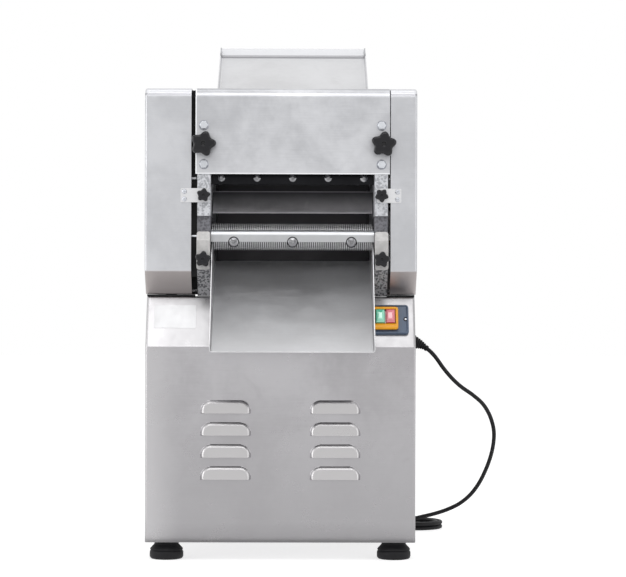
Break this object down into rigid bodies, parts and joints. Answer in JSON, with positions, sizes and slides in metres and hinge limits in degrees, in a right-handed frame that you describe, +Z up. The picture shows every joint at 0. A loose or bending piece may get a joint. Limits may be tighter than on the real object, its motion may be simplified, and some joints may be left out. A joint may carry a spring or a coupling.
{
  "type": "electric pasta maker",
  "caption": "Table-top electric pasta machine: a steel cabinet with a motor, pressing rollers, grooved cutter rolls, a sloping feed tray, an outlet chute and a mains lead.",
  "frame": {"origin": "on the floor under the middle of the machine, without its lead", "axes": "+Z up, +Y towards the back, +X towards the machine's right as its user sees it"},
  "size_m": [0.5905, 0.6502, 0.869],
  "materials": {
    "satin_steel": "satin stainless sheet",
    "pale_steel": "bright satin stainless sheet",
    "hammered_paint": "silver hammered paint on cast metal",
    "dark_steel": "dark polished steel",
    "clamp_metal": "satin cast metal",
    "zinc": "bright zinc plating",
    "polished_steel": "ground and polished steel",
    "gear_steel": "oiled machined steel",
    "knob_plastic": "glossy black moulding",
    "switch_plastic": "satin blue-black moulding",
    "orange_plastic": "smooth moulding",
    "green_plastic": "smooth moulding",
    "red_plastic": "smooth moulding",
    "rubber": "matt black rubber",
    "motor_paint": "satin grey-blue paint"
  },
  "bodies": {
    "machine": {"cabinet_shell": "satin_steel", "cabinet_back_panel": "satin_steel", "base_tray": "satin_steel", "deck_plate": "satin_steel", "rear_cover": "satin_steel", "comb_bar": "satin_steel", "front_cover": "pale_steel", "outlet_chute": "pale_steel", "feed_tray": "pale_steel", "left_side_frame": "hammered_paint", "right_side_frame": "hammered_paint", "cutter_end_plate_left": "hammered_paint", "cutter_end_plate_right": "hammered_paint", "scraper_bar": "dark_steel", "guide_plate": "dark_steel", "cutter_clamp_left": "clamp_metal", "cutter_clamp_right": "clamp_metal", "cover_bolt_upper_left": "zinc", "cover_bolt_lower_left": "zinc", "cover_bolt_upper_right": "zinc", "cover_bolt_lower_right": "zinc", "switch_plate": "switch_plastic", "switch_surround": "orange_plastic", "foot_front_left": "rubber", "foot_front_right": "rubber", "foot_rear_left": "rubber", "foot_rear_right": "rubber", "v_belt": "rubber", "cable_gland": "rubber", "power_cord": "rubber", "cord_coil": "rubber", "power_plug": "rubber", "motor_body": "motor_paint"},
    "left_cover": {"left_side_cover": "satin_steel", "left_cover_tab": "zinc"},
    "right_cover": {"right_side_cover": "satin_steel", "right_cover_tab": "zinc"},
    "bearing_carriage": {"bearing_block_left": "gear_steel", "bearing_block_right": "gear_steel"},
    "front_roller_set": {"front_roller": "polished_steel", "front_roller_gear": "gear_steel"},
    "left_gap_knob": {"gap_knob_left": "knob_plastic"},
    "right_gap_knob": {"gap_knob_right": "knob_plastic"},
    "rear_roller_set": {"rear_roller": "polished_steel", "drive_gear": "gear_steel", "rear_roller_gear": "gear_steel"},
    "idler": {"idler_gear": "gear_steel"},
    "rear_cutter": {"cutter_roll_rear": "polished_steel"},
    "front_cutter": {"cutter_roll_front": "polished_steel"},
    "layshaft_set": {"layshaft": "gear_steel", "driven_pulley": "gear_steel"},
    "motor_rotor": {"motor_pulley": "gear_steel"},
    "start": {"start_button": "green_plastic"},
    "stop": {"stop_button": "red_plastic"},
    "left_cover_knob": {"cover_knob_left": "knob_plastic"},
    "right_cover_knob": {"cover_knob_right": "knob_plastic"},
    "left_clamp_knob": {"clamp_knob_left": "knob_plastic"},
    "right_clamp_knob": {"clamp_knob_right": "knob_plastic"}
  },
  "joints": [
    {"name": "left_cover_slide", "type": "slide", "parent": "machine", "child": "left_cover", "axis": [-1, 0, 0], "range_m": [0, 0.08]},
    {"name": "right_cover_slide", "type": "slide", "parent": "machine", "child": "right_cover", "axis": [1, 0, 0], "range_m": [0, 0.045]},
    {"name": "roller_gap", "type": "slide", "parent": "machine", "child": "bearing_carriage", "axis": [0, -1, 0], "range_m": [0, 0.005]},
    {"name": "front_roller_spin", "type": "hinge", "parent": "bearing_carriage", "child": "front_roller_set", "pos_m": [0.0185, -0.105, 0.661], "axis": [1, 0, 0], "continuous": true},
    {"name": "left_gap_screw", "type": "hinge", "parent": "bearing_carriage", "child": "left_gap_knob", "pos_m": [-0.123, -0.218, 0.661], "axis": [0, -1, 0], "range_deg": [0, 1201]},
    {"name": "right_gap_screw", "type": "hinge", "parent": "bearing_carriage", "child": "right_gap_knob", "pos_m": [0.1625, -0.218, 0.661], "axis": [0, -1, 0], "range_deg": [0, 1201]},
    {"name": "rear_roller_spin", "type": "hinge", "parent": "machine", "child": "rear_roller_set", "pos_m": [0.0185, -0.027, 0.661], "axis": [1, 0, 0], "continuous": true},
    {"name": "idler_spin", "type": "hinge", "parent": "machine", "child": "idler", "pos_m": [0.0185, -0.05644, 0.56963], "axis": [1, 0, 0], "continuous": true},
    {"name": "rear_cutter_spin", "type": "hinge", "parent": "machine", "child": "rear_cutter", "pos_m": [0.0185, -0.111, 0.516], "axis": [1, 0, 0], "continuous": true},
    {"name": "front_cutter_spin", "type": "hinge", "parent": "machine", "child": "front_cutter", "pos_m": [0.0185, -0.15, 0.516], "axis": [1, 0, 0], "continuous": true},
    {"name": "layshaft_spin", "type": "hinge", "parent": "machine", "child": "layshaft_set", "pos_m": [0.0185, 0.03567, 0.58631], "axis": [1, 0, 0], "continuous": true},
    {"name": "motor_spin", "type": "hinge", "parent": "machine", "child": "motor_rotor", "pos_m": [0.0185, 0.06, 0.15], "axis": [1, 0, 0], "continuous": true},
    {"name": "start_press", "type": "slide", "parent": "machine", "child": "start", "axis": [0, 0.8966, -0.4428], "range_m": [0, 0.003], "stiffness_N_per_m": 500, "springref_m": -0.002},
    {"name": "stop_press", "type": "slide", "parent": "machine", "child": "stop", "axis": [0, 0.8966, -0.4428], "range_m": [0, 0.003], "stiffness_N_per_m": 500, "springref_m": -0.002},
    {"name": "left_cover_screw", "type": "hinge", "parent": "machine", "child": "left_cover_knob", "pos_m": [-0.123, -0.2, 0.5805], "axis": [0, -1, 0], "range_deg": [0, 1080]},
    {"name": "right_cover_screw", "type": "hinge", "parent": "machine", "child": "right_cover_knob", "pos_m": [0.16, -0.2, 0.5805], "axis": [0, -1, 0], "range_deg": [0, 1080]},
    {"name": "left_clamp_screw", "type": "hinge", "parent": "machine", "child": "left_clamp_knob", "pos_m": [-0.123, -0.21, 0.4786], "axis": [0, -1, 0], "range_deg": [0, 1080]},
    {"name": "right_clamp_screw", "type": "hinge", "parent": "machine", "child": "right_clamp_knob", "pos_m": [0.16, -0.21, 0.4786], "axis": [0, -1, 0], "range_deg": [0, 1080]}
  ],
  "couplings": [
    {"joint": "front_roller_spin", "follows": "rear_roller_spin", "ratio": -1},
    {"joint": "idler_spin", "follows": "rear_roller_spin", "ratio": -0.68421},
    {"joint": "rear_cutter_spin", "follows": "rear_roller_spin", "ratio": 2},
    {"joint": "front_cutter_spin", "follows": "rear_roller_spin", "ratio": -2},
    {"joint": "layshaft_spin", "follows": "rear_roller_spin", "ratio": -4},
    {"joint": "motor_spin", "follows": "rear_roller_spin", "ratio": -12},
    {"joint": "left_gap_screw", "follows": "roller_gap", "rad_per_m": 4188.8},
    {"joint": "right_gap_screw", "follows": "roller_gap", "rad_per_m": 4188.8}
  ]
}
